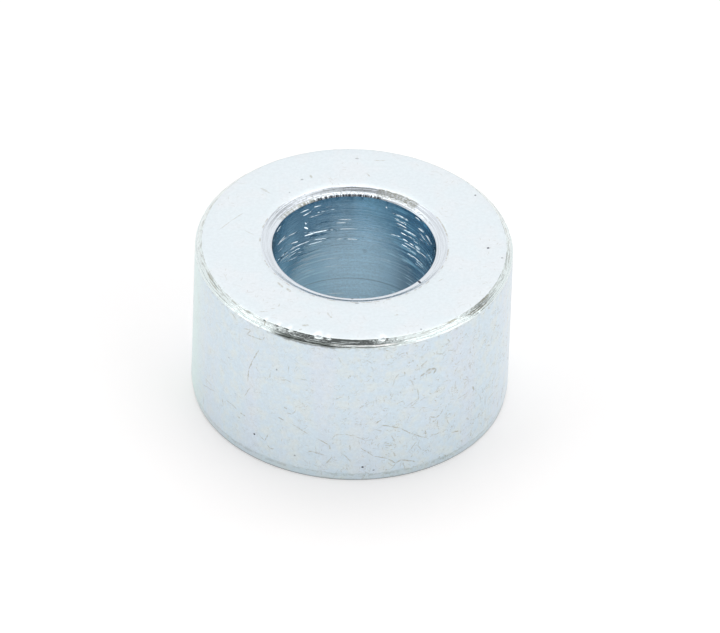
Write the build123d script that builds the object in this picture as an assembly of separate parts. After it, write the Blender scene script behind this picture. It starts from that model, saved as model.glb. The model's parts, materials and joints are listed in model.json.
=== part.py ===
from build123d import *

import os

# Spacer sleeve: a short, thick-walled steel ring, turned from bar, that a bolt passes through.
# It is one solid, turned about +Z. It stands on its lower end face: the origin is that face's
# centre, and +Z runs up the bore. Lengths are in millimetres.

# Driving dimensions.
OUTER_DIAMETER = 20.0
BORE_DIAMETER = 10.3  # an easy fit on an M10 bolt
LENGTH = 11.1

# The upper outer edge carries a plain 45 degree chamfer.
UPPER_CHAMFER = 0.4

# The foot tapers in a little, so the lower outer chamfer is much taller than it is wide.
LOWER_CHAMFER_WIDTH = 0.1
LOWER_CHAMFER_HEIGHT = 0.6

# Both mouths of the bore are opened by a shallow, wide countersink.
MOUTH_WIDTH = 0.72
MOUTH_DEPTH = 0.28

# Barrelling and plating leave a small radius on every corner.
CORNER_RADIUS = 0.07


def wall_section():
    """The wall's section to one side of the axis, with its corners eased."""
    outer = OUTER_DIAMETER / 2
    bore = BORE_DIAMETER / 2
    corners = [
        (bore, MOUTH_DEPTH),
        (bore + MOUTH_WIDTH, 0),
        (outer - LOWER_CHAMFER_WIDTH, 0),
        (outer, LOWER_CHAMFER_HEIGHT),
        (outer, LENGTH - UPPER_CHAMFER),
        (outer - UPPER_CHAMFER, LENGTH),
        (bore + MOUTH_WIDTH, LENGTH),
        (bore, LENGTH - MOUTH_DEPTH),
    ]
    with BuildSketch(Plane.XZ) as section:
        with BuildLine():
            Polyline(*corners, close=True)
        make_face()
        fillet(section.vertices(), CORNER_RADIUS)
    return section.sketch


def spacer_sleeve():
    """The whole sleeve: its wall section turned once about the bore's axis."""
    sleeve = revolve(wall_section(), axis=Axis.Z)
    sleeve.label = "spacer_sleeve"
    return sleeve


os.makedirs("parts", exist_ok=True)
export_step(spacer_sleeve(), "parts/spacer_sleeve.step")
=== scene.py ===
"""Spacer sleeve: a short, thick-walled steel ring with bright zinc plate, standing on a pale floor.

The sleeve is turned from one outline, and its tool marks, nicks and worn edges are cut into that mesh.
Lengths are in metres unless a name says millimetres.
"""

import json
import math

import bmesh
import bpy
from bpy.props import FloatProperty, FloatVectorProperty, IntProperty, PointerProperty
from mathutils import Matrix, Vector, noise


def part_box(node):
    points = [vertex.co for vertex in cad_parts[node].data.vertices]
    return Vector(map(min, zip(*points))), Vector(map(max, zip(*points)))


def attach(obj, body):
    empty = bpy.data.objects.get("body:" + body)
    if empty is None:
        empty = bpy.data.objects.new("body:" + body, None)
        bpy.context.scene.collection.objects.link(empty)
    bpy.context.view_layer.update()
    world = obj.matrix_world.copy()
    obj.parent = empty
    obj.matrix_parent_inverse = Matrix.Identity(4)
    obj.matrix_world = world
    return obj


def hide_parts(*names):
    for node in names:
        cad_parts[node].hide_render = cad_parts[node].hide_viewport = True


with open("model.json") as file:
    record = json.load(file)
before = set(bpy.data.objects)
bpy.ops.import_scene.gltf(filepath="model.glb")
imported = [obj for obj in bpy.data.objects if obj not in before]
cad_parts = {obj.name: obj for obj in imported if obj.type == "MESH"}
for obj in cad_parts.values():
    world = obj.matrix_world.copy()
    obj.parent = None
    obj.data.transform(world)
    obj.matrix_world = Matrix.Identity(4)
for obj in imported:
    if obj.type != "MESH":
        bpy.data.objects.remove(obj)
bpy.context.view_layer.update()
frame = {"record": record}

bl_info = {
    "name": "Spacer Sleeve",
    "version": (1, 0, 0),
    "blender": (4, 5, 0),
    "location": "3D View > Sidebar > Sleeve",
    "description": "Turns a zinc-plated spacer sleeve and sets it in a plain studio",
    "category": "Add Mesh",
}

MM = 0.001
NODE = "spacer_sleeve"
BODY = "root"

LOWEST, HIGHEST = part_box(NODE)
OUTER_RADIUS = HIGHEST.x
LENGTH = HIGHEST.z - LOWEST.z
BORE_RADIUS = next(m["dims"]["r_mm"] for m in frame["record"]["mounts"] if m["name"] == "bore") * MM
UPPER_CHAMFER_MM = 0.4

# How many millimetres one degree is worth round the side, the countersink's nick and the bore.
OUTER_DEGREE = math.radians(round(OUTER_RADIUS / MM, 3))
NICK_DEGREE = math.radians(5.4)
BORE_DEGREE = math.radians(BORE_RADIUS / MM)


class SleeveSizes(bpy.types.PropertyGroup):
    """The sleeve's sizes, taken from the frame where it states them."""

    outer_radius: FloatProperty(
        name="Outer radius", description="Radius of the plain side", default=OUTER_RADIUS, unit="LENGTH")
    bore_radius: FloatProperty(
        name="Bore radius", description="Radius of the bore's wall", default=BORE_RADIUS, unit="LENGTH")
    length: FloatProperty(
        name="Length", description="Height from one end face to the other", default=LENGTH, unit="LENGTH")
    upper_chamfer: FloatProperty(
        name="Upper chamfer", description="Width and height of the upper outer chamfer",
        default=UPPER_CHAMFER_MM * MM, unit="LENGTH")
    lower_chamfer_width: FloatProperty(
        name="Lower chamfer width", description="How far the lower outer chamfer cuts into the end face",
        default=0.1 * MM, unit="LENGTH")
    lower_chamfer_height: FloatProperty(
        name="Lower chamfer height", description="How far the lower outer chamfer runs up the side",
        default=0.6 * MM, unit="LENGTH")
    mouth_width: FloatProperty(
        name="Mouth width", description="Width of the countersink at each end of the bore",
        default=0.72 * MM, unit="LENGTH")
    mouth_depth: FloatProperty(
        name="Mouth depth", description="Depth of the countersink at each end of the bore",
        default=0.28 * MM, unit="LENGTH")
    corner_radius: FloatProperty(
        name="Corner radius", description="Radius that barrelling leaves on every corner",
        default=0.07 * MM, unit="LENGTH")
    segments: IntProperty(
        name="Segments", description="Number of steps round the sleeve", default=620, min=48)


def plate_colour(name, description, default):
    return FloatVectorProperty(
        name=name, description=description, default=default, subtype="COLOR", min=0, max=1)


class SleeveColours(bpy.types.PropertyGroup):
    """The zinc plate's colours on each surface, its painted shades, highlights and reflections, its marks,
    and the floor.
    """

    side: plate_colour("Side", "Plate on the side", (0.640, 0.745, 0.815))
    side_warm: plate_colour("Warm side", "Warm clouds on the side", (0.682, 0.756, 0.776))
    side_lavender: plate_colour("Lavender side", "Upright lavender bands on the side", (0.680, 0.735, 0.815))
    side_mint: plate_colour("Mint side", "Green tint far round the left", (0.660, 0.800, 0.790))
    # Painted shade on the lower outer chamfer, which mirrors the shadowed floor.
    foot: plate_colour("Foot", "Lower outer chamfer", (0.46, 0.55, 0.54))
    face: plate_colour("Face", "Plate on the end faces", (0.765, 0.828, 0.864))
    face_warm: plate_colour("Warm face", "Warm clouds on the end faces", (0.785, 0.828, 0.860))
    chamfer: plate_colour("Chamfer", "Upper outer chamfer", (0.76, 0.83, 0.83))
    chamfer_groove: plate_colour(
        "Chamfer grooves", "Tool marks in the upper outer chamfer", (0.46, 0.51, 0.50))
    mouth: plate_colour("Countersink", "Countersink at each end of the bore", (0.76, 0.81, 0.86))
    mouth_groove: plate_colour("Countersink grooves", "Tool marks in the countersinks", (0.46, 0.49, 0.53))
    bore: plate_colour("Bore", "Blue plate in the bore", (0.550, 0.735, 0.845))
    # Painted highlights: bright glints on the chatter in the bore.
    bore_painted_glint: plate_colour("Bore streaks", "Bright chatter in the bore", (0.86, 0.93, 0.96))
    scratch: plate_colour("Scratches", "Dull scratches and scuffs", (0.33, 0.30, 0.21))
    speck: plate_colour("Specks", "Dark specks", (0.03, 0.035, 0.06))
    side_pale: plate_colour("Pale side", "Small pale clouds on the side", (0.70, 0.74, 0.735))
    smear: plate_colour("Smear", "Brown smears on the side", (0.45, 0.39, 0.31))
    under_chamfer: plate_colour(
        "Under the chamfer", "Dull stretch at the top of the side", (0.34, 0.34, 0.28))
    dark_lip: plate_colour("Dark lip", "Shaded lip just under the chamfer", (0.13, 0.14, 0.14))
    foot_rim: plate_colour("Foot rim", "Worn edge above the lower chamfer", (0.27, 0.31, 0.29))
    # Painted shadow: a dark line on the side where the sleeve meets the floor.
    painted_contact_shadow: plate_colour("Contact line", "Dark line where the sleeve meets the floor", (0.20, 0.21, 0.21))
    face_scratch: plate_colour("Face scratches", "Dull scratches on the end faces", (0.40, 0.36, 0.27))
    burr: plate_colour("Burr", "Broken ring round the countersink", (0.40, 0.37, 0.30))
    chamfer_hatch: plate_colour("Chamfer hatching", "Fine hatching high on the chamfer", (0.47, 0.49, 0.47))
    # Painted dark reflection on the lower half of the chamfer's front.
    chamfer_painted_dark: plate_colour("Dull chamfer", "Dark stretch of the chamfer", (0.12, 0.14, 0.13))
    glint: plate_colour("Glint", "Bright line at the front of the chamfer", (0.98, 0.98, 0.97))
    smudge: plate_colour("Smudges", "Olive smudges on the chamfer", (0.30, 0.28, 0.20))
    mouth_hatch: plate_colour("Countersink hatching", "Hatching at its back", (0.22, 0.24, 0.24))
    mouth_grey: plate_colour("Grey countersink", "Worn stretch at its right", (0.31, 0.32, 0.29))
    mouth_inner: plate_colour("Inner countersink", "Hatching near the bore", (0.34, 0.36, 0.37))
    teeth: plate_colour("Teeth", "Dark chatter at the bore's edge", (0.06, 0.07, 0.08))
    teeth_left: plate_colour("Left teeth", "Paler chatter at the bore's edge", (0.36, 0.37, 0.32))
    bore_right: plate_colour("Bore right", "Shade on the bore's right", (0.21, 0.33, 0.43))
    bore_left: plate_colour("Bore left", "Light on the bore's upper left", (0.66, 0.84, 0.94))
    bore_low: plate_colour("Bore low", "Bluer plate low on the bore's sides", (0.42, 0.66, 0.80))
    bore_square: plate_colour("Square mark", "Small square mark on the bore's wall", (0.25, 0.33, 0.40))
    bore_ledge: plate_colour("Bore line", "Thin dark line round the bore", (0.15, 0.22, 0.28))
    # Painted highlights: pale glints along fine tool rings in the bore.
    bore_ring_glint: plate_colour("Bore threads", "Thin pale rings in the bore", (0.62, 0.86, 0.96))
    floor: plate_colour("Floor", "Paper under the sleeve", (0.87, 0.85, 0.845))


# ---------------------------------------------------------------------------------------------
# The turned form
# ---------------------------------------------------------------------------------------------

ARC_STEPS = 5


def outline_runs(sizes):
    """The section's straight runs as (surface, radius and height where it starts, steps along it)."""
    outer, bore, top = sizes.outer_radius, sizes.bore_radius, sizes.length
    return [
        ("lower_mouth", Vector((bore, sizes.mouth_depth)), 5),
        ("lower_face", Vector((bore + sizes.mouth_width, 0)), 4),
        ("lower_chamfer", Vector((outer - sizes.lower_chamfer_width, 0)), 6),
        ("side", Vector((outer, sizes.lower_chamfer_height)), 14),
        ("upper_chamfer", Vector((outer, top - sizes.upper_chamfer)), 30),
        ("upper_face", Vector((outer - sizes.upper_chamfer, top)), 10),
        ("upper_mouth", Vector((bore + sizes.mouth_width, top)), 24),
        ("bore", Vector((bore, top - sizes.mouth_depth)), 28),
    ]


CUT_SURFACES = ("lower_mouth", "lower_chamfer", "upper_chamfer", "upper_mouth")


def outline_points(sizes):
    """The closed outline as (surface, place, outward normal, share along the surface), corners eased."""
    runs = outline_runs(sizes)
    count = len(runs)
    corners = []
    for index, (_, corner, _) in enumerate(runs):
        arrive = (corner - runs[index - 1][1]).normalized()
        leave = (runs[(index + 1) % count][1] - corner).normalized()
        turn = math.atan2(arrive.x * leave.y - arrive.y * leave.x, arrive.dot(leave))
        setback = sizes.corner_radius * math.tan(turn / 2)
        corners.append((corner - arrive * setback, corner + leave * setback, arrive, turn))
    points = []
    for index, (surface, _, steps) in enumerate(runs):
        start, end, arrive, turn = corners[index]
        before = runs[index - 1][0]
        outward = Vector((arrive.y, -arrive.x))
        centre = start - outward * sizes.corner_radius
        owner = surface if surface in CUT_SURFACES else before
        for step in range(ARC_STEPS):
            normal = Matrix.Rotation(turn * step / ARC_STEPS, 2) @ outward
            share = 0 if owner == surface else 1
            points.append((owner, centre + normal * sizes.corner_radius, normal, share))
        next_start = corners[(index + 1) % count][0]
        normal = Matrix.Rotation(turn, 2) @ outward
        for step in range(steps):
            share = step / steps
            if surface.endswith("face"):
                share = 0.5 - 0.5 * math.cos(math.pi * share)
            points.append((surface, end.lerp(next_start, share), normal, share))
    return points


def bearing(around):
    """Degrees round the sleeve from its front, growing to the right."""
    return math.degrees(math.atan2(around.x, -around.y))


def ripple(around, pace, lane):
    """Smooth noise round the sleeve, from -1 to 1, that closes on itself. Pace is how often it changes."""
    return noise.noise(Vector((around.x * pace, around.y * pace, lane)))


def groove(share, middle, half_width):
    """How deep a round-bottomed groove is at that share of the way across, from 0 to 1."""
    reach = abs(share - middle) / half_width
    return 0.5 + 0.5 * math.cos(math.pi * reach) if reach < 1 else 0


def tooth(share, start, peak, end):
    """A straight-sided cut, 0 at start, 1 at its deepest and 0 again at end."""
    if share <= start or share >= end:
        return 0
    return (share - start) / (peak - start) if share < peak else (end - share) / (end - peak)


# Dings in the upper outer edge as (angle, half width in degrees, depth in millimetres).
UPPER_EDGE_DINGS = (
    (-12.3, 2.0, 0.10), (-8.3, 0.9, 0.06), (12.0, 1.6, 0.10),
    (-23.5, 1.2, 0.06), (-28.0, 0.8, 0.05), (-33.6, 0.6, 0.06),
)
# Where the chamfer's ledge dies out as (angle, half width in degrees), and how nearly it does.
LEDGE_GAP = (-18, 14)
LEDGE_FADE = 0.85
# Share of the upper face, from each of its edges, over which the worn edge runs out.
OUTER_WEAR_REACH = 0.09
MOUTH_WEAR_REACH = 0.06


def edge_wear(around):
    """How far in millimetres the upper outer edge is worn down."""
    depth = 0.014 * (1 + 0.8 * ripple(around, 9, 61.0))
    depth += 0.10 * max(0, ripple(around, 24, 12.5) - 0.32) * max(0, 0.5 + ripple(around, 2.5, 77.0))
    for angle, reach, deep in UPPER_EDGE_DINGS:
        off = math.remainder(math.radians(bearing(around) - angle), math.tau)
        depth += deep * groove(math.degrees(off), 0, reach)
    return depth


def chamfer_relief(share, around):
    """Depth in millimetres of the ledge, the fine grooves and the nicks on the upper chamfer."""
    wander = 0.02 * ripple(around, 3.0, 40.0)
    ledge = 0.056 * (1 + 0.4 * ripple(around, 2.2, 0.0) + 0.6 * ripple(around, 12.0, 9.0))
    ledge *= 1 - LEDGE_FADE * groove(bearing(around), *LEDGE_GAP)
    depth = ledge * tooth(share, 0.14 + wander, 0.17 + wander, 0.30 + wander)
    depth += 0.0028 * (1 + 1.6 * ripple(around, 7.0, 7.3)) * groove(share, 0.45 + wander, 0.06)
    depth += 0.0055 * (1 + 2.4 * ripple(around, 9.0, 17.3)) * groove(share, 0.66 - wander, 0.06)
    nick = max(0, ripple(around, 19, 55.5) - 0.33)
    depth = max(0, depth + 0.09 * nick * groove(share, 0.0, 0.3))
    return depth + edge_wear(around) * groove(share, 1.0, 0.35)


def mouth_wear(around):
    """How far in millimetres the countersink's outer edge is worn down."""
    return 0.020 * (1 + 0.6 * ripple(around, 6, 91.0))


def mouth_relief(share, around):
    """Depth in millimetres of the countersink's two steps and of the chatter at the bore's edge."""
    wander = 0.03 * ripple(around, 1.5, 23.0)
    depth = 0.034 * (1 + 0.3 * ripple(around, 2.0, 3.0)) * tooth(share, 0.0, 0.60 + wander, 0.90 + wander)
    depth += 0.006 * (1 + ripple(around, 3.0, 8.0)) * groove(share, 0.22 + wander, 0.07)
    depth += 0.004 * (1 + ripple(around, 3.0, 18.0)) * groove(share, 0.38 + wander, 0.05)
    chatter = max(0, ripple(around, 30, 31.5)) * max(0, around.y)
    depth = max(depth, mouth_wear(around) * (1 - share / 0.12), 0)
    return depth + 0.015 * chatter * groove(share, 1.0, 0.2)


def relief(surface, share, around):
    """Depth that tools and handling have cut into the plain form there."""
    if surface == "upper_chamfer":
        return chamfer_relief(share, around) * MM
    if surface == "upper_mouth":
        return mouth_relief(share, around) * MM
    if surface == "upper_face":
        outer = edge_wear(around) * max(0, 1 - share / OUTER_WEAR_REACH) ** 2
        inner = mouth_wear(around) * max(0, 1 - (1 - share) / MOUTH_WEAR_REACH) ** 2
        return (outer + inner) * MM
    return 0


def turned_mesh(sizes):
    """The outline turned once about the bore's axis, with the relief cut into it."""
    outline = outline_points(sizes)
    shape = bmesh.new()
    rings = []
    for segment in range(sizes.segments):
        angle = math.tau * segment / sizes.segments
        around = Vector((math.sin(angle), -math.cos(angle), 0))
        ring = []
        for surface, place, normal, share in outline:
            cut = place - normal * relief(surface, share, around)
            ring.append(shape.verts.new((around.x * cut.x, around.y * cut.x, cut.y)))
        rings.append(ring)
    count = len(outline)
    slots = [SURFACE_FINISH[surface] for surface, *_ in outline]
    for segment in range(sizes.segments):
        here, ahead = rings[segment], rings[(segment + 1) % sizes.segments]
        for step in range(count):
            after = (step + 1) % count
            face = shape.faces.new((here[step], ahead[step], ahead[after], here[after]))
            face.smooth = True
            face.material_index = slots[step]
    mesh = bpy.data.meshes.new("sleeve_body")
    shape.to_mesh(mesh)
    shape.free()
    return mesh


# ---------------------------------------------------------------------------------------------
# Finishes
# ---------------------------------------------------------------------------------------------

SURFACE_FINISH = {
    "side": 0, "lower_chamfer": 0, "upper_face": 1, "lower_face": 1,
    "upper_chamfer": 2, "upper_mouth": 3, "lower_mouth": 3, "bore": 4,
}


# How far a line's soft spots reach: along it as a share of its length, across it as a share of its
# half width.
SCRATCH_STRETCH = 0.62
SCRATCH_NARROWING = 0.8


class Recipe:
    """A node tree with a short call for each kind of node that the finishes use."""

    def __init__(self, tree):
        self.tree = tree

    def add(self, kind, inputs=(), **settings):
        node = self.tree.nodes.new(kind)
        for name, value in settings.items():
            setattr(node, name, value)
        for socket, value in dict(inputs).items():
            self.feed(node.inputs[socket], value)
        return node

    def feed(self, socket, value):
        if isinstance(value, bpy.types.NodeSocket):
            self.tree.links.new(value, socket)
        else:
            socket.default_value = value

    def math(self, operation, *values):
        return self.add("ShaderNodeMath", enumerate(values), operation=operation).outputs[0]

    def product(self, *values):
        total = values[0]
        for value in values[1:]:
            total = self.math("MULTIPLY", total, value)
        return total

    def highest(self, *values):
        total = values[0]
        for value in values[1:]:
            total = self.math("MAXIMUM", total, value)
        return total

    def ramp(self, value, start, end, low=0.0, high=1.0):
        """A smooth change from low, where value is at start, to high, where it is at end."""
        return self.add("ShaderNodeMapRange", enumerate((value, start, end, low, high)),
                        interpolation_type="SMOOTHSTEP").outputs[0]

    def window(self, value, start, end, soft):
        """1 between start and end, falling softly to 0 outside."""
        return self.product(self.ramp(value, start - soft / 2, start + soft / 2),
                            self.ramp(value, end + soft / 2, end - soft / 2))

    def vector(self, x, y, z=0.0):
        return self.add("ShaderNodeCombineXYZ", enumerate((x, y, z))).outputs[0]

    def noise(self, place, scale=1.0, detail=2.0, roughness=0.5):
        node = self.add("ShaderNodeTexNoise", {"Vector": place, "Scale": scale, "Detail": detail,
                                               "Roughness": roughness})
        return node.outputs[0]

    def blend(self, factor, first, second):
        """First colour where the factor is 0, second where it is 1."""
        first, second = (c if isinstance(c, bpy.types.NodeSocket) else (*c, 1) for c in (first, second))
        return self.add("ShaderNodeMix", {0: factor, 6: first, 7: second}, data_type="RGBA").outputs[2]

    def shade(self, colour, amount):
        """The colour made darker or lighter by that factor, or a place scaled by it."""
        return self.add("ShaderNodeVectorMath", {0: colour, "Scale": amount}, operation="SCALE").outputs[0]

    def marks(self, flat, rows):
        """Dashes at given places: (across, up, half length, half width, slant in degrees, strength)."""
        total = 0.0
        for across, up, length, width, slant, strength in rows:
            local = self.add("ShaderNodeMapping", {
                "Vector": flat, "Location": (across, up, 0), "Rotation": (0, 0, math.radians(slant)),
                "Scale": (length, width, 1)}, vector_type="TEXTURE").outputs[0]
            spot = self.add("ShaderNodeTexGradient", {0: local}, gradient_type="SPHERICAL").outputs[1]
            total = self.math("MAXIMUM", total, self.ramp(spot, 0.0, 0.5, 0.0, strength))
        return total

    def scratches(self, flat, paths, along=1.0):
        """Lines through given points: (half width, then the points)."""
        total = 0.0
        for width, *points in paths:
            points = [Vector((across * along, up)) for across, up in points]
            for start, end in zip(points, points[1:]):
                middle, run = (start + end) / 2, end - start
                reach = (run.length * SCRATCH_STRETCH, width * SCRATCH_NARROWING, 1)
                local = self.add("ShaderNodeMapping", {
                    "Vector": flat, "Location": (*middle, 0), "Rotation": (0, 0, math.atan2(run.y, run.x)),
                    "Scale": reach}, vector_type="TEXTURE").outputs[0]
                spot = self.add("ShaderNodeTexGradient", {0: local}, gradient_type="SPHERICAL").outputs[1]
                total = self.math("MAXIMUM", total, spot)
        return self.ramp(total, 0.0, 0.45)

    def dashes(self, flat, scale, length, width, slant, spread, share):
        """A field of short curved dashes, one in a share of the cells, each at its own slant."""
        cells = self.add("ShaderNodeTexVoronoi", {"Vector": flat, "Scale": scale}, voronoi_dimensions="2D")
        chance = self.add("ShaderNodeSeparateColor", {0: cells.outputs["Color"]}).outputs
        away = self.add("ShaderNodeVectorMath", {0: flat, 1: cells.outputs["Position"]}, operation="SUBTRACT")
        turn = self.ramp(chance[0], 0.0, 1.0, math.radians(slant - spread), math.radians(slant + spread))
        local = self.add("ShaderNodeVectorRotate", {"Vector": away.outputs[0], "Angle": turn},
                         rotation_type="Z_AXIS").outputs[0]
        along, aside = self.add("ShaderNodeSeparateXYZ", {0: local}).outputs[:2]
        bend = self.product(along, along, self.math("SUBTRACT", chance[1], 0.5), 2.2)
        aside = self.math("ABSOLUTE", self.math("ADD", aside, bend))
        return self.product(
            self.ramp(aside, width, width * 0.3),
            self.ramp(self.math("ABSOLUTE", along), length, length * 0.6),
            self.math("LESS_THAN", chance[2], share))

    def hairlines(self, place, scale, width, detail=2.0):
        """Thin wandering lines."""
        off = self.math("ABSOLUTE", self.math("SUBTRACT", self.noise(place, scale, detail), 0.5))
        return self.ramp(off, width, width * 0.3)


class Finish(Recipe):
    """One surface's zinc plate, with places on the sleeve in millimetres and degrees."""

    def __init__(self, name):
        self.colours = bpy.context.scene.sleeve_colours
        self.material = bpy.data.materials.new(name)
        self.material.use_nodes = True
        super().__init__(self.material.node_tree)
        self.shader = self.tree.nodes["Principled BSDF"]
        self.shader.inputs["Metallic"].default_value = 1
        where = self.add("ShaderNodeTexCoord").outputs["Object"]
        self.place = self.shade(where, 1 / MM)
        self.x, self.y, self.z = self.add("ShaderNodeSeparateXYZ", {0: self.place}).outputs
        self.radius = self.math("SQRT", self.math("ADD", self.product(self.x, self.x),
                                                  self.product(self.y, self.y)))
        self.angle = self.math("DEGREES", self.math("ARCTAN2", self.x, self.product(self.y, -1.0)))

    def ringed(self, across, stretch, pace):
        """A place for noise that is drawn out round the sleeve and changes fast across it."""
        return self.vector(self.product(self.x, stretch), self.product(self.y, stretch),
                           self.product(across, pace))

    def shift(self, place, reach, scale):
        """The place pushed about by up to about that reach."""
        push = self.add("ShaderNodeTexNoise", {"Vector": place, "Scale": scale, "Detail": 1.0}).outputs[1]
        centred = {0: push, 1: (0.5, 0.5, 0.5)}
        push = self.add("ShaderNodeVectorMath", centred, operation="SUBTRACT").outputs[0]
        return self.add("ShaderNodeVectorMath", {0: push, 1: (reach, reach, 0), 2: place},
                        operation="MULTIPLY_ADD").outputs[0]

    def bump(self, height, distance, normal=None):
        node = self.add("ShaderNodeBump", {"Height": height, "Distance": distance * MM})
        if normal:
            self.feed(node.inputs["Normal"], normal)
        self.feed(self.shader.inputs["Normal"], node.outputs[0])

    def done(self, colour, roughness):
        self.feed(self.shader.inputs["Base Color"], colour)
        self.feed(self.shader.inputs["Roughness"], roughness)
        return self.material


# Scratches on the side as (half width, (angle, height), ...), in millimetres and in degrees from the front.
DARK_SCRATCHES = (
    (0.06, (-34.6, 8.9), (-37.5, 7.8), (-39.1, 6.9), (-39.5, 5.9)),
    (0.07, (-26.0, 4.15), (-23.6, 4.05)),
    (0.055, (-20.4, 3.95), (-14.3, 3.45)),
    (0.06, (-10.7, 3.2), (-6.4, 2.8), (-6.0, 2.5)),
    (0.07, (-42.7, 3.05), (-40.0, 3.05)),
    (0.06, (-52.6, 3.1), (-51.8, 2.7)),
    (0.045, (-33.5, 2.1), (-31.0, 1.85), (-29.8, 2.5)),
    (0.095, (26.1, 7.8), (28.2, 8.0)),
    (0.095, (28.6, 8.15), (30.8, 8.2), (32.6, 8.0), (31.6, 7.7)),
    (0.055, (9.9, 4.6), (12.0, 4.85)),
    (0.055, (12.0, 4.45), (15.7, 4.25), (19.1, 4.0), (24.0, 3.3), (28.7, 2.75), (30.1, 2.7)),
    (0.08, (29.1, 3.3), (29.4, 2.95)),
    (0.065, (36.3, 4.5), (35.1, 4.15), (33.4, 4.05), (30.9, 4.3)),
    (0.055, (32.9, 2.65), (35.4, 2.7)),
    (0.07, (40.9, 2.25), (44.4, 2.05)),
    (0.08, (48.0, 2.75), (49.2, 2.5)),
    (0.05, (4.5, 2.75), (9.8, 2.0), (14.9, 1.65), (18.1, 1.2), (16.7, 0.85)),
    (0.07, (18.1, 1.2), (19.9, 1.4), (24.4, 1.1), (25.5, 0.95)),
    (0.05, (58.7, 3.4), (59.0, 2.6)),
    (0.10, (50.7, 5.05), (51.7, 4.6)),
    (0.07, (20.0, 8.5), (20.3, 8.25)),
)
FAINT_SCRATCHES = (
    (0.06, (-42.1, 9.9), (-38.6, 10.1), (-40.5, 9.6), (-36.7, 9.7), (-33.4, 9.8), (-32.4, 10.1)),
    (0.07, (-48.9, 10.5), (-46.1, 10.2)),
    (0.055, (-38.3, 5.5), (-40.8, 4.6)),
    (0.06, (-25.3, 7.2), (-23.2, 7.35), (-21.3, 7.25)),
    (0.05, (-18.9, 7.7), (-15.3, 7.75)),
    (0.05, (-22.2, 8.5), (-22.5, 8.1)),
    (0.055, (-29.6, 7.5), (-30.0, 7.0)),
    (0.05, (-35.8, 7.4), (-34.8, 7.15)),
    (0.055, (-4.2, 9.9), (-3.2, 9.5)),
    (0.05, (-5.2, 6.5), (-2.1, 6.8)),
    (0.05, (-22.5, 4.7), (-20.2, 4.75), (-19.1, 5.2)),
    (0.09, (-23.8, 5.1), (-22.6, 5.0)),
    (0.045, (-5.5, 3.3), (-4.4, 3.65), (-1.2, 3.8), (2.7, 3.65), (6.8, 3.27), (9.3, 3.37), (8.6, 2.9)),
    (0.08, (-14.0, 2.05), (-12.6, 2.1), (-7.8, 1.95)),
    (0.05, (-5.1, 1.9), (-7.5, 1.25)),
    (0.055, (-1.3, 2.2), (1.5, 1.55)),
    (0.08, (1.0, 2.9), (1.2, 2.5)),
    (0.06, (-29.9, 1.6), (-29.0, 1.4), (-27.2, 1.5)),
    (0.055, (-50.3, 3.25), (-47.0, 3.3), (-44.2, 3.15)),
    (0.08, (-43.9, 2.65), (-42.4, 2.6)),
    (0.05, (-67.8, 2.4), (-57.2, 3.15)),
    (0.045, (-65.2, 3.2), (-59.4, 3.3)),
    (0.06, (-65.9, 1.7), (-65.7, 1.0)),
    (0.09, (26.5, 8.6), (28.9, 8.95)),
    (0.07, (36.1, 9.7), (38.3, 9.75), (37.1, 10.1)),
    (0.055, (26.1, 10.05), (27.6, 10.35)),
    (0.05, (32.3, 9.25), (35.4, 9.05)),
    (0.05, (37.5, 9.15), (40.3, 8.95)),
    (0.05, (41.3, 7.65), (43.4, 7.8)),
    (0.06, (48.7, 7.1), (49.0, 6.5)),
    (0.05, (55.6, 3.75), (56.2, 3.2)),
    (0.05, (61.0, 2.85), (65.7, 2.85)),
    (0.045, (41.9, 6.4), (41.1, 5.5)),
    (0.055, (42.9, 4.8), (47.2, 4.8)),
    (0.05, (25.3, 6.9), (25.9, 6.3), (25.6, 5.9), (22.6, 5.5), (24.8, 5.4)),
    (0.05, (22.5, 7.7), (23.9, 7.2)),
    (0.05, (15.7, 7.5), (16.6, 8.1), (18.0, 8.4)),
    (0.05, (12.5, 8.0), (14.4, 7.8)),
    (0.06, (12.8, 6.65), (12.8, 6.25)),
    (0.05, (34.3, 3.9), (34.0, 3.2)),
    (0.05, (37.8, 3.75), (39.4, 3.0)),
    (0.05, (25.9, 2.6), (22.4, 1.85)),
    (0.055, (26.2, 2.25), (27.7, 1.8)),
    (0.08, (13.3, 3.0), (15.4, 2.85)),
)
# Specks on the side as (angle, height, half length, half width, slant, strength).
SIDE_SPECKS = (
    (5.8, 1.14, 0.10, 0.085, 0, 1.0), (-35.8, 1.99, 0.085, 0.085, 0, 1.0), (83.0, 3.3, 0.12, 0.09, 0, 0.9),
    (-27.1, 7.9, 0.07, 0.07, 0, 0.6), (-49.3, 6.8, 0.07, 0.06, 0, 0.5), (9.9, 0.85, 0.09, 0.06, 0, 0.6),
    (-19.0, 1.47, 0.08, 0.08, 0, 0.5),
)
# Marks on both end faces as (half width, (x, y), ...).
FACE_SCRATCHES = (
    (0.13, (-4.70, -4.15), (-4.35, -4.70)),
    (0.16, (-4.15, -4.75), (-3.85, -5.05)),
    (0.06, (-5.75, -7.15), (-5.25, -7.10)),
    (0.06, (-5.05, -6.80), (-4.75, -6.75)),
    (0.06, (-4.60, -6.60), (-4.50, -6.30)),
    (0.16, (-3.05, -8.40), (-2.65, -8.35)),
    (0.08, (-3.25, -8.85), (-3.05, -8.75)),
    (0.07, (-6.05, 5.25), (-5.55, 4.95)),
    (0.12, (-2.95, 6.75), (-2.80, 6.45)),
    (0.07, (0.65, 7.10), (0.85, 6.80)),
    (0.05, (1.05, 8.45), (1.80, 8.55)),
    (0.045, (-8.50, 0.90), (-7.75, 1.90), (-7.05, 2.65)),
    (0.05, (-5.90, 5.05), (-5.30, 4.70)),
    (0.04, (-6.9, 0.9), (-6.3, 0.5)),
    (0.10, (-1.55, -7.00), (-1.35, -7.35), (-1.20, -7.55)),
    (0.07, (2.65, -7.05), (2.95, -6.95)),
    (0.05, (5.30, -3.55), (5.65, -3.20)),
)
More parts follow.
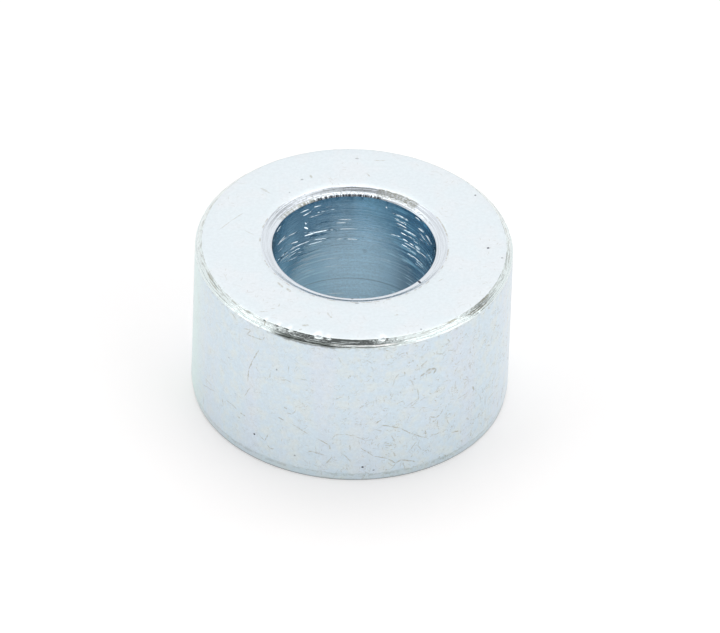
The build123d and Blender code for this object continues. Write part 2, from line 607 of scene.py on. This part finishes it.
# Specks on both end faces as (x, y, half length, half width, slant, strength).
FACE_SPECKS = (
    (8.40, 0.02, 0.10, 0.10, 0, 0.9), (9.29, -0.94, 0.08, 0.08, 0, 0.6), (0.30, -5.97, 0.16, 0.08, 0, 0.6),
    (4.35, -8.35, 0.09, 0.08, 0, 0.6), (0.0, 8.6, 0.14, 0.08, 0, 0.35), (-3.45, 6.25, 0.10, 0.10, 0, 0.45),
    (-4.2, 4.9, 0.07, 0.07, 0, 0.4), (7.5, 5.3, 0.08, 0.08, 0, 0.7),
)
# Marks on the upper chamfer as (angle, height from its foot, half length, half width, slant, strength).
CHAMFER_SMUDGES = (
    (40.5, 0.33, 0.50, 0.05, 0, 0.6), (59.0, 0.33, 0.75, 0.05, 0, 0.6), (-67.0, 0.30, 0.55, 0.08, 0, 0.45),
    (-50.0, 0.34, 0.30, 0.05, 0, 0.3), (-42.0, 0.36, 0.25, 0.04, 0, 0.3), (54.0, 0.14, 1.2, 0.03, 0, 0.8),
    (52.0, 0.23, 0.9, 0.03, 0, 0.7), (-63.0, 0.20, 0.8, 0.04, 0, 0.4), (-56.0, 0.12, 0.9, 0.03, 0, 0.4),
    (-33.6, 0.25, 0.05, 0.12, 20, 0.6),
)
# Chatter in the bore painted as bright glints, as (half width, (angle from the middle of its back wall,
# height), ...).
BORE_STREAKS = (
    (0.05, (-42.6, 10.37), (-24.3, 10.36)),
    (0.06, (-39.7, 10.00), (-28.0, 10.10), (-16.8, 10.12)),
    (0.05, (-28.0, 9.82), (-14.5, 9.84)),
    (0.05, (-15.7, 8.97), (-2.0, 8.90)),
    (0.08, (-38.5, 9.10), (-34.9, 8.75)),
    (0.06, (-37.5, 9.40), (-36.5, 9.20)),
    (0.07, (-39.1, 8.28), (-25.0, 8.25), (-11.9, 8.12)),
    (0.08, (-34.0, 8.30), (-22.0, 8.22)),
    (0.05, (-50.0, 9.00), (-43.0, 8.90)),
    (0.05, (-48.0, 8.20), (-43.0, 8.10)),
    (0.06, (-53.4, 6.96), (-34.3, 6.88)),
    (0.06, (-13.8, 7.41), (3.9, 7.30)),
    (0.08, (21.6, 10.31), (22.8, 10.28)),
    (0.07, (26.6, 9.99), (32.3, 9.97)),
    (0.06, (37.0, 9.70), (38.6, 9.50)),
    (0.06, (33.7, 8.73), (39.9, 8.70)),
    (0.06, (25.7, 8.26), (34.7, 8.37)),
    (0.06, (36.0, 8.32), (42.0, 8.28), (47.0, 8.26)),
    (0.07, (46.9, 10.59), (56.1, 10.65)),
)
FAINT_BORE_STREAKS = (
    (0.045, (-70.4, 9.29), (-55.0, 9.10), (-42.0, 8.89)),
    (0.045, (-68.1, 8.66), (-55.0, 8.40), (-41.7, 8.07)),
    (0.045, (-62.8, 7.84), (-30.5, 7.72), (-18.9, 7.55)),
    (0.045, (-65.8, 7.60), (-35.0, 7.45), (-20.0, 7.38)),
    (0.045, (-70.0, 7.25), (-38.0, 7.15)),
    (0.040, (-60.0, 6.50), (-33.0, 6.35)),
    (0.040, (-50.8, 6.01), (-30.0, 5.95), (-9.7, 5.83)),
    (0.040, (-46.0, 5.40), (-8.0, 5.20)),
    (0.045, (29.2, 9.60), (37.7, 9.56)),
    (0.045, (30.0, 9.35), (40.0, 9.30)),
    (0.045, (37.0, 8.05), (51.4, 8.12), (71.1, 8.33)),
    (0.040, (28.0, 7.85), (46.0, 7.80)),
    (0.040, (34.2, 7.39), (59.6, 7.40)),
    (0.040, (36.0, 6.80), (50.0, 6.75)),
    (0.050, (52.0, 9.60), (70.0, 9.50)),
    (0.045, (-18.3, 3.03), (-4.6, 2.97)),
    (0.045, (-14.0, 8.70), (-3.0, 8.65)),
    (0.045, (-12.0, 8.20), (2.0, 8.15)),
)
# Where tints, wear, painted shade, a painted dark reflection and a painted glint lie, from one edge to the
# other. Angles are in degrees from the front. Heights are in millimetres, in the bore from the floor and on
# the chamfer from its foot.
MINT_BAND = (-88.0, -72.0)
LIP_ANGLES = (-28.0, -4.0)
PAINTED_DARK_ANGLES = (-29.0, -5.0)
GLINT_ANGLES = (-7.0, 16.0)
GLINT_HEIGHTS = (0.065, 0.125)
BORE_LINE_HEIGHTS = (4.15, 4.22)
# Round the countersink, radii are in millimetres and angles in degrees from the middle of its back,
# growing to the right.
BURR_RADII = (5.87, 5.96)
HATCH_RADII = (5.40, 5.82)
INNER_RADII = (5.29, 5.44)
HATCH_ANGLES = (-62.0, 22.0)
GREY_ANGLES = (14.0, 43.0)
INNER_ANGLES = (-60.0, 60.0)
TEETH_ANGLES = (-42.0, 19.0)
LEFT_TEETH_ANGLES = (-62.0, -30.0)


def ring_streaks():
    """Thin rings low on the bore's two sides painted as bright glints, as the lists above have them."""
    streaks = []
    for step in range(12):
        height = 0.31 * step
        streaks.append((0.038, (-74 + 5 * (step * 7 % 4), 5.55 + height),
                        (-34 - 6 * (step * 5 % 3), 5.35 + height)))
    for step in range(11):
        height = 0.36 * step
        streaks.append((0.034, (33 + 5 * (step * 3 % 4), 6.2 + height),
                        (68 - 5 * (step * 5 % 3), 6.35 + height)))
    return streaks


def side_finish():
    finish = Finish("zinc_side")
    colours = finish.colours
    flat = finish.shift(finish.vector(finish.product(finish.angle, OUTER_DEGREE), finish.z), 0.10, 2.2)
    flat = finish.shift(flat, 0.05, 9.0)
    colour = finish.blend(finish.ramp(finish.noise(finish.place, 1.2, 3.0, 0.6), 0.42, 0.66),
                          colours.side, colours.side_warm)
    drawn_up = finish.vector(finish.product(finish.x, 0.33), finish.product(finish.y, 0.33),
                             finish.product(finish.z, 0.06))
    colour = finish.blend(finish.ramp(finish.noise(drawn_up, 1.3), 0.46, 0.66, 0.0, 0.5),
                          colour, colours.side_lavender)
    colour = finish.blend(finish.ramp(finish.noise(finish.place, 2.1, 3.0, 0.6), 0.50, 0.62, 0.0, 0.20),
                          colour, colours.side_pale)
    colour = finish.blend(finish.window(finish.angle, *MINT_BAND, 16.0), colour, colours.side_mint)
    mottle = finish.noise(finish.place, 5.0, 4.0, 0.75)
    colour = finish.shade(colour, finish.ramp(mottle, 0.3, 0.7, 0.95, 1.05))
    broken = finish.ramp(finish.noise(finish.place, 9.0, 2.0, 0.6), 0.38, 0.56, 0.35, 1.0)
    busy = finish.ramp(finish.noise(finish.place, 0.55, 2.0), 0.42, 0.62)
    right = finish.ramp(finish.angle, -30.0, 25.0, 0.35, 1.0)
    lines = finish.highest(
        finish.product(finish.scratches(flat, DARK_SCRATCHES, OUTER_DEGREE), 0.66),
        finish.product(finish.scratches(flat, FAINT_SCRATCHES, OUTER_DEGREE), 0.50),
        finish.product(finish.dashes(flat, 1.3, 0.26, 0.045, 20, 60, 0.40), busy, right, 0.55),
        finish.product(finish.dashes(flat, 2.6, 0.14, 0.035, 10, 80, 0.5), busy,
                       finish.ramp(finish.angle, -60.0, 20.0, 0.5, 1.0), 0.42),
        finish.product(finish.hairlines(flat, 2.6, 0.016, 3.0), right,
                       finish.ramp(finish.noise(finish.place, 1.4, 3.0), 0.49, 0.60), 0.75))
    smear = finish.marks(flat, [(29.5 * OUTER_DEGREE, 7.98, 0.55, 0.20, 10, 0.9),
                                (47.5 * OUTER_DEGREE, 4.7, 0.5, 0.22, 40, 0.6)])
    colour = finish.blend(finish.product(smear, finish.ramp(mottle, 0.46, 0.56), 0.5), colour, colours.smear)
    colour = finish.blend(finish.product(lines, broken), colour, colours.scratch)
    specks = finish.marks(flat, [(angle * OUTER_DEGREE, *rest) for angle, *rest in SIDE_SPECKS])
    colour = finish.blend(specks, colour, colours.speck)
    ragged = finish.noise(finish.place, 1.9, 4.0, 0.75)
    under_chamfer = finish.product(finish.ramp(finish.z, 10.38, 10.66),
                                   finish.ramp(finish.noise(finish.place, 3.4, 3.0, 0.7), 0.50, 0.62))
    colour = finish.blend(finish.product(under_chamfer, 0.45), colour, colours.under_chamfer)
    lip_height = finish.math("ADD", finish.z, finish.product(ragged, 0.30))
    dark_lip = finish.product(finish.window(finish.angle, *LIP_ANGLES, 8.0),
                              finish.ramp(lip_height, 10.66, 10.80))
    colour = finish.blend(finish.product(dark_lip, 0.75), colour, colours.dark_lip)
    edge = finish.math("ADD", finish.z, finish.ramp(ragged, 0.2, 0.8, -0.20, 0.20))
    # Painted shade: the lowest part of the side and the lower chamfer darkened towards the foot colour, with
    # a ragged edge.
    colour = finish.blend(finish.ramp(edge, 0.66, 0.54, 0.0, 0.22), colour, colours.foot)
    rim = finish.product(finish.window(edge, 0.50, 0.64, 0.08), finish.ramp(ragged, 0.38, 0.56))
    colour = finish.blend(finish.product(rim, 0.32), colour, colours.foot_rim)
    # Painted contact shadow: the side darkened over its lowest 0.13 mm, where it meets the floor.
    colour = finish.blend(finish.ramp(finish.z, 0.13, 0.05, 0.0, 0.75), colour, colours.painted_contact_shadow)
    return finish.done(colour, finish.ramp(mottle, 0.3, 0.7, 0.27, 0.34))


def face_finish():
    finish = Finish("zinc_face")
    colours = finish.colours
    flat = finish.shift(finish.vector(finish.x, finish.y), 0.12, 1.8)
    flat = finish.shift(flat, 0.06, 8.0)
    colour = finish.blend(finish.ramp(finish.noise(finish.place, 0.5, 3.0), 0.42, 0.65),
                          colours.face, colours.face_warm)
    mottle = finish.noise(finish.place, 4.5, 4.0, 0.7)
    colour = finish.shade(colour, finish.ramp(mottle, 0.3, 0.7, 0.97, 1.03))
    broken = finish.ramp(finish.noise(finish.place, 9.0, 2.0, 0.6), 0.38, 0.56, 0.3, 1.0)
    busy = finish.ramp(finish.noise(finish.place, 0.5, 2.0), 0.45, 0.62)
    lines = finish.highest(
        finish.product(finish.scratches(flat, FACE_SCRATCHES), 0.50),
        finish.product(finish.dashes(flat, 0.9, 0.35, 0.04, 20, 60, 0.35), busy, 0.22),
        finish.product(finish.dashes(flat, 2.0, 0.14, 0.04, 10, 80, 0.4), busy, 0.28))
    colour = finish.blend(finish.product(lines, broken), colour, colours.face_scratch)
    round_mouth = finish.ramp(finish.noise(finish.place, 2.2, 4.0, 0.7), 0.50, 0.56)
    burr = finish.product(finish.window(finish.radius, *BURR_RADII, 0.05), round_mouth,
                          finish.ramp(finish.y, 4.2, 3.0))
    colour = finish.blend(finish.product(burr, 0.6), colour, colours.burr)
    colour = finish.blend(finish.marks(flat, FACE_SPECKS), colour, colours.speck)
    return finish.done(colour, finish.ramp(mottle, 0.3, 0.7, 0.28, 0.34))


def chamfer_finish():
    finish = Finish("zinc_chamfer")
    colours = finish.colours
    across = finish.math("SUBTRACT", finish.z, LENGTH / MM - UPPER_CHAMFER_MM)
    arc = finish.product(finish.angle, OUTER_DEGREE)
    rings = finish.noise(finish.ringed(across, 0.6, 16.0), 1.0, 3.0, 0.6)
    ticks = finish.noise(finish.vector(finish.product(arc, 2.4), finish.product(across, 8.0)), 1.0, 2.0, 0.6)
    round_side = finish.ramp(finish.math("ABSOLUTE", finish.angle), 17.0, 26.0)
    clean = finish.product(round_side, finish.ramp(across, 0.20, 0.12), 0.8)
    colour = finish.blend(finish.product(finish.ramp(rings, 0.54, 0.66), finish.math("SUBTRACT", 1.0, clean)),
                          colours.chamfer, colours.chamfer_groove)
    hatch = finish.noise(finish.vector(finish.product(arc, 1.7), finish.product(across, 12.0)), 1.0, 2.0, 0.6)
    hatched = finish.product(finish.ramp(across, 0.15, 0.23), round_side, finish.ramp(hatch, 0.48, 0.60), 0.5)
    colour = finish.blend(hatched, colour, colours.chamfer_hatch)
    # Painted dark reflection over the lower half of the chamfer, at its front.
    painted_dark = finish.product(finish.window(finish.angle, *PAINTED_DARK_ANGLES, 7.0), finish.ramp(across, 0.19, 0.13),
                          finish.ramp(rings, 0.36, 0.50, 0.4, 0.95))
    colour = finish.blend(painted_dark, colour, colours.chamfer_painted_dark)
    glint = finish.product(finish.window(finish.angle, *GLINT_ANGLES, 4.0),
                           finish.window(across, *GLINT_HEIGHTS, 0.02))
    colour = finish.blend(glint, colour, colours.glint)
    smudges = finish.marks(finish.shift(finish.vector(arc, across), 0.06, 6.0),
                           [(angle * OUTER_DEGREE, *rest) for angle, *rest in CHAMFER_SMUDGES])
    colour = finish.blend(smudges, colour, colours.smudge)
    finish.bump(finish.math("ADD", finish.product(rings, 0.8), ticks), 0.022)
    return finish.done(colour, finish.ramp(ticks, 0.3, 0.7, 0.06, 0.16))


def mouth_finish():
    finish = Finish("zinc_mouth")
    colours = finish.colours
    across = finish.radius
    rings = finish.noise(finish.ringed(across, 0.35, 11.0), 1.0, 3.0, 0.6)
    round_back = finish.math("DEGREES", finish.math("ARCTAN2", finish.x, finish.y))
    off_back = finish.math("ABSOLUTE", finish.math("ADD", round_back, 10.0))
    grooved = finish.product(finish.ramp(rings, 0.46, 0.62), finish.ramp(off_back, 75.0, 45.0, 0.30, 1.0))
    colour = finish.blend(grooved, colours.mouth, colours.mouth_groove)
    arc = finish.product(round_back, BORE_DEGREE)
    hatch = finish.noise(finish.vector(finish.product(arc, 5.0), finish.product(across, 9.0)), 1.0, 3.0, 0.7)
    outer = finish.window(across, *HATCH_RADII, 0.05)
    middle = finish.window(round_back, *HATCH_ANGLES, 30.0)
    hatched = finish.product(outer, middle, finish.ramp(hatch, 0.50, 0.66), 0.6)
    colour = finish.blend(hatched, colour, colours.mouth_hatch)
    right = finish.product(finish.window(round_back, *GREY_ANGLES, 3.0),
                           finish.ramp(across, 5.24, 5.46, 0.25, 1.0), finish.ramp(across, 5.86, 5.82))
    greyed = finish.product(right, finish.ramp(hatch, 0.40, 0.58, 0.40, 1.0),
                            finish.ramp(rings, 0.62, 0.50, 0.55, 1.0))
    colour = finish.blend(greyed, colour, colours.mouth_grey)
    inner = finish.product(finish.window(across, *INNER_RADII, 0.05),
                           finish.window(round_back, *INNER_ANGLES, 20.0))
    colour = finish.blend(finish.product(inner, finish.ramp(hatch, 0.42, 0.58), 0.7),
                          colour, colours.mouth_inner)
    lip = finish.ramp(across, 5.33, 5.27)
    chatter = finish.noise(finish.vector(finish.product(arc, 6.0), 0.0), 1.0, 2.0, 0.8)
    teeth = finish.ramp(chatter, 0.44, 0.52)
    colour = finish.blend(finish.product(teeth, lip, finish.window(round_back, *TEETH_ANGLES, 8.0)),
                          colour, colours.teeth)
    left_teeth = finish.product(teeth, finish.ramp(across, 5.42, 5.36),
                                finish.window(round_back, *LEFT_TEETH_ANGLES, 8.0), 0.7)
    colour = finish.blend(left_teeth, colour, colours.teeth_left)
    nick = finish.marks(finish.vector(finish.product(finish.angle, NICK_DEGREE), across),
                        [(51.0 * NICK_DEGREE, 5.36, 0.10, 0.26, 25, 1.0), (0.0, 5.26, 0.10, 0.07, 0, 0.8)])
    colour = finish.blend(nick, colour, colours.speck)
    finish.bump(rings, 0.012)
    return finish.done(colour, 0.18)


def bore_finish():
    finish = Finish("zinc_bore")
    colours = finish.colours
    arc = finish.product(finish.math("DEGREES", finish.math("ARCTAN2", finish.x, finish.y)),
                         BORE_DEGREE)
    flat = finish.shift(finish.vector(arc, finish.z), 0.10, 1.5)
    rings = finish.noise(finish.ringed(finish.z, 0.25, 6.0), 1.0, 4.0, 0.75)
    grain = finish.noise(finish.place, 7.0, 4.0, 0.8)
    lines = finish.ramp(finish.noise(finish.ringed(finish.z, 0.18, 4.6), 1.0, 2.0, 0.6), 0.53, 0.60)
    patches = finish.ramp(finish.noise(finish.ringed(finish.z, 0.9, 1.7), 1.0, 2.0, 0.6), 0.42, 0.62)
    aside = finish.ramp(finish.math("ABSOLUTE", finish.math("SUBTRACT", arc, 0.2)), 1.2, 3.0, 0.25, 1.0)
    field = finish.product(lines, patches, aside, finish.ramp(finish.z, 4.8, 6.8), 0.60)
    broken = finish.ramp(grain, 0.34, 0.50, 0.55, 1.0)
    fine = finish.noise(finish.ringed(finish.z, 1.2, 8.0), 1.0, 2.0, 0.6)
    ragged = finish.ramp(fine, 0.36, 0.54, 0.22, 1.0)
    # Painted highlights: glints along the bore's chatter and tool rings, also used below to tip the normals
    # up.
    bright = finish.product(finish.highest(
        finish.product(finish.scratches(flat, BORE_STREAKS, BORE_DEGREE), ragged),
        finish.product(finish.scratches(flat, FAINT_BORE_STREAKS, BORE_DEGREE), ragged, 0.95),
        finish.product(finish.scratches(flat, ring_streaks(), BORE_DEGREE), ragged,
                       finish.ramp(patches, 0.0, 0.7, 0.25, 0.7)),
        field), broken)
    colour = finish.shade(colours.bore, finish.ramp(grain, 0.3, 0.7, 0.86, 1.12))
    colour = finish.shade(colour, finish.ramp(rings, 0.35, 0.65, 0.92, 1.06))
    colour = finish.blend(finish.ramp(arc, 0.6, 4.0), colour, colours.bore_right)
    colour = finish.blend(finish.product(finish.ramp(arc, -1.5, -4.5), finish.ramp(finish.z, 6.4, 8.4)),
                          colour, colours.bore_left)
    low = finish.product(aside, finish.ramp(finish.z, 8.0, 6.2), finish.ramp(arc, 3.6, 1.2))
    colour = finish.blend(low, colour, colours.bore_low)
    # Painted shade high on the bore's back wall, just right of its middle.
    colour = finish.shade(colour, finish.math("SUBTRACT", 1.0, finish.product(
        finish.window(arc, 0.2, 3.4, 1.8), finish.ramp(finish.z, 7.8, 9.4), 0.13)))
    # Painted light: the bore lighter towards its upper mouth.
    colour = finish.shade(colour, finish.ramp(finish.z, 6.5, 10.2, 1.0, 1.07))
    square = finish.marks(finish.vector(arc, finish.z), [(7.7 * BORE_DEGREE, 6.45, 0.20, 0.20, 0, 0.35)])
    colour = finish.blend(square, colour, colours.bore_square)
    ledge = finish.window(finish.z, *BORE_LINE_HEIGHTS, 0.06)
    colour = finish.blend(finish.product(ledge, 0.5), colour, colours.bore_ledge)
    # Painted highlights: pale glints along fine tool rings on the bore's sides.
    ring_glints = finish.ramp(finish.noise(finish.ringed(finish.z, 0.20, 7.5), 1.0, 2.0, 0.6), 0.50, 0.62)
    colour = finish.blend(finish.product(ring_glints, aside, finish.ramp(patches, 0.0, 1.0, 0.25, 0.8)),
                          colour, colours.bore_ring_glint)
    # Painted glints on the bore's chatter and rings.
    colour = finish.blend(finish.product(bright, 0.9), colour, colours.bore_painted_glint)
    facing = finish.add("ShaderNodeNewGeometry").outputs["Normal"]
    upward = finish.product(finish.ramp(bright, 0.08, 0.80), finish.ramp(finish.z, 6.7, 7.1),
                            finish.ramp(finish.math("ABSOLUTE", arc), 2.5, 5.0, 0.62, 1.25))
    tipping = {0: finish.vector(0.0, 0.0, upward), 1: facing}
    tipped = finish.add("ShaderNodeVectorMath", tipping, operation="ADD").outputs[0]
    even = finish.add("ShaderNodeVectorMath", {0: tipped}, operation="NORMALIZE").outputs[0]
    finish.bump(rings, 0.010, even)
    return finish.done(colour, 0.20)


FINISHES = (side_finish, face_finish, chamfer_finish, mouth_finish, bore_finish)


class SLEEVE_OT_body(bpy.types.Operator):
    """Turn the sleeve with its tool marks and worn edges"""

    bl_idname = "sleeve.body"
    bl_label = "Sleeve body"

    def execute(self, context):
        sizes = context.scene.sleeve_sizes
        if sizes.bore_radius + sizes.mouth_width >= sizes.outer_radius - sizes.upper_chamfer:
            raise ValueError("The bore and its countersinks leave no end face")
        if sizes.lower_chamfer_height + sizes.upper_chamfer >= sizes.length:
            raise ValueError("The outer chamfers leave no side")
        mesh = turned_mesh(sizes)
        body = bpy.data.objects.new("sleeve_body", mesh)
        context.collection.objects.link(body)
        for finish in FINISHES:
            mesh.materials.append(finish())
        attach(body, BODY)
        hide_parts(NODE)
        return {"FINISHED"}


# ---------------------------------------------------------------------------------------------
# Studio
# ---------------------------------------------------------------------------------------------

CAMERA_DISTANCE = 1.0
CAMERA_ELEVATION = math.radians(38.8)
CAMERA_ROLL = math.radians(2.05)
CAMERA_LENS = 796.7
SENSOR = 36.0
AIM_RIGHT = 0.360 * MM
AIM_DOWN = 4.589 * MM
FLOOR_REACH = 2
# How brightly the paper glows for the camera and in reflections, so that it reads as white.
FLOOR_GLOW = 0.27

# What the plate mirrors: cards in the studio as (azimuth, elevation, half width, half height,
# softness, brightness), in degrees, with azimuth 0 on the camera's side and growing to the right.
STUDIO_CARDS = (
    (180, 83, 181, 9, 6, 0.72),
    (180, 63, 48, 12, 10, 1.75),
    (-13, 62, 47, 28, 9, 0.14),
    (-74, 25, 17, 13, 8, 1.6),
    (60, 27, 27, 14, 8, 1.6),
    (103, 28, 9, 9, 7, 0.30),
)


def camera():
    data = bpy.data.cameras.new("camera")
    data.lens = CAMERA_LENS
    data.sensor_width = SENSOR
    eye = bpy.data.objects.new("camera", data)
    bpy.context.collection.objects.link(eye)
    forward = Vector((0, math.cos(CAMERA_ELEVATION), -math.sin(CAMERA_ELEVATION)))
    level_up = Vector((0, math.sin(CAMERA_ELEVATION), math.cos(CAMERA_ELEVATION)))
    level_right = Vector((1, 0, 0))
    right = level_right * math.cos(CAMERA_ROLL) + level_up * math.sin(CAMERA_ROLL)
    up = level_up * math.cos(CAMERA_ROLL) - level_right * math.sin(CAMERA_ROLL)
    top_centre = Vector((0, 0, LENGTH))
    place = top_centre - forward * CAMERA_DISTANCE + right * AIM_RIGHT - up * AIM_DOWN
    eye.matrix_world = Matrix((
        (right.x, up.x, -forward.x, place.x),
        (right.y, up.y, -forward.y, place.y),
        (right.z, up.z, -forward.z, place.z),
        (0, 0, 0, 1),
    ))
    bpy.context.scene.camera = eye


def floor():
    shape = bmesh.new()
    bmesh.ops.create_grid(shape, x_segments=1, y_segments=1, size=FLOOR_REACH)
    mesh = bpy.data.meshes.new("floor")
    shape.to_mesh(mesh)
    shape.free()
    ground = bpy.data.objects.new("floor", mesh)
    bpy.context.collection.objects.link(ground)
    material = bpy.data.materials.new("floor_paper")
    material.use_nodes = True
    tree = material.node_tree
    tree.nodes.remove(tree.nodes["Principled BSDF"])
    paper = tree.nodes.new("ShaderNodeBsdfDiffuse")
    paper.inputs["Color"].default_value = (*bpy.context.scene.sleeve_colours.floor, 1)
    glow = tree.nodes.new("ShaderNodeEmission")
    path = tree.nodes.new("ShaderNodeLightPath")
    seen = tree.nodes.new("ShaderNodeMath")
    seen.operation = "MAXIMUM"
    tree.links.new(path.outputs["Is Camera Ray"], seen.inputs[0])
    tree.links.new(path.outputs["Is Glossy Ray"], seen.inputs[1])
    strength = tree.nodes.new("ShaderNodeMath")
    strength.operation = "MULTIPLY"
    strength.inputs[1].default_value = FLOOR_GLOW
    tree.links.new(seen.outputs[0], strength.inputs[0])
    tree.links.new(strength.outputs[0], glow.inputs["Strength"])
    both = tree.nodes.new("ShaderNodeAddShader")
    tree.links.new(paper.outputs[0], both.inputs[0])
    tree.links.new(glow.outputs[0], both.inputs[1])
    tree.links.new(both.outputs[0], tree.nodes["Material Output"].inputs["Surface"])
    mesh.materials.append(material)


def studio_world():
    world = bpy.data.worlds.new("studio")
    bpy.context.scene.world = world
    world.use_nodes = True
    recipe = Recipe(world.node_tree)
    way = recipe.add("ShaderNodeTexCoord").outputs["Generated"]
    right, back, up = recipe.add("ShaderNodeSeparateXYZ", {0: way}).outputs
    azimuth = recipe.math("DEGREES", recipe.math("ARCTAN2", right, recipe.product(back, -1.0)))
    elevation = recipe.math("DEGREES", recipe.math("ARCSINE", up))
    light = 1.0
    for middle, height, half_width, half_height, soft, brightness in STUDIO_CARDS:
        away = recipe.math("WRAP", recipe.math("SUBTRACT", azimuth, float(middle)), 180.0, -180.0)
        round_off = recipe.math("ABSOLUTE", away)
        up_off = recipe.math("ABSOLUTE", recipe.math("SUBTRACT", elevation, float(height)))
        inside = recipe.product(recipe.ramp(round_off, half_width + soft / 2, half_width - soft / 2),
                                recipe.ramp(up_off, half_height + soft / 2, half_height - soft / 2))
        light = recipe.math("ADD", recipe.product(inside, float(brightness)),
                            recipe.product(recipe.math("SUBTRACT", 1.0, inside), light))
    background = world.node_tree.nodes["Background"]
    background.inputs["Color"].default_value = (1, 1, 1, 1)
    recipe.feed(background.inputs["Strength"], light)


class SLEEVE_OT_stage(bpy.types.Operator):
    """Lay the floor, light the studio and place the camera"""

    bl_idname = "sleeve.stage"
    bl_label = "Stage"

    def execute(self, context):
        floor()
        studio_world()
        camera()
        context.scene.view_settings.view_transform = "Standard"
        return {"FINISHED"}


class SLEEVE_PT_panel(bpy.types.Panel):
    """Sizes and the steps that build the sleeve"""

    bl_label = "Spacer Sleeve"
    bl_idname = "SLEEVE_PT_panel"
    bl_space_type = "VIEW_3D"
    bl_region_type = "UI"
    bl_category = "Sleeve"

    def draw(self, context):
        for group in (context.scene.sleeve_sizes, context.scene.sleeve_colours):
            for name in group.__annotations__:
                self.layout.prop(group, name)
        self.layout.operator(SLEEVE_OT_body.bl_idname)
        self.layout.operator(SLEEVE_OT_stage.bl_idname)


CLASSES = (SleeveSizes, SleeveColours, SLEEVE_OT_body, SLEEVE_OT_stage, SLEEVE_PT_panel)


def register():
    for item in CLASSES:
        bpy.utils.register_class(item)
    bpy.types.Scene.sleeve_sizes = PointerProperty(type=SleeveSizes)
    bpy.types.Scene.sleeve_colours = PointerProperty(type=SleeveColours)


def unregister():
    del bpy.types.Scene.sleeve_colours
    del bpy.types.Scene.sleeve_sizes
    for item in reversed(CLASSES):
        bpy.utils.unregister_class(item)


def main():
    register()
    bpy.ops.sleeve.body()
    bpy.ops.sleeve.stage()


if __name__ == "__main__":
    main()
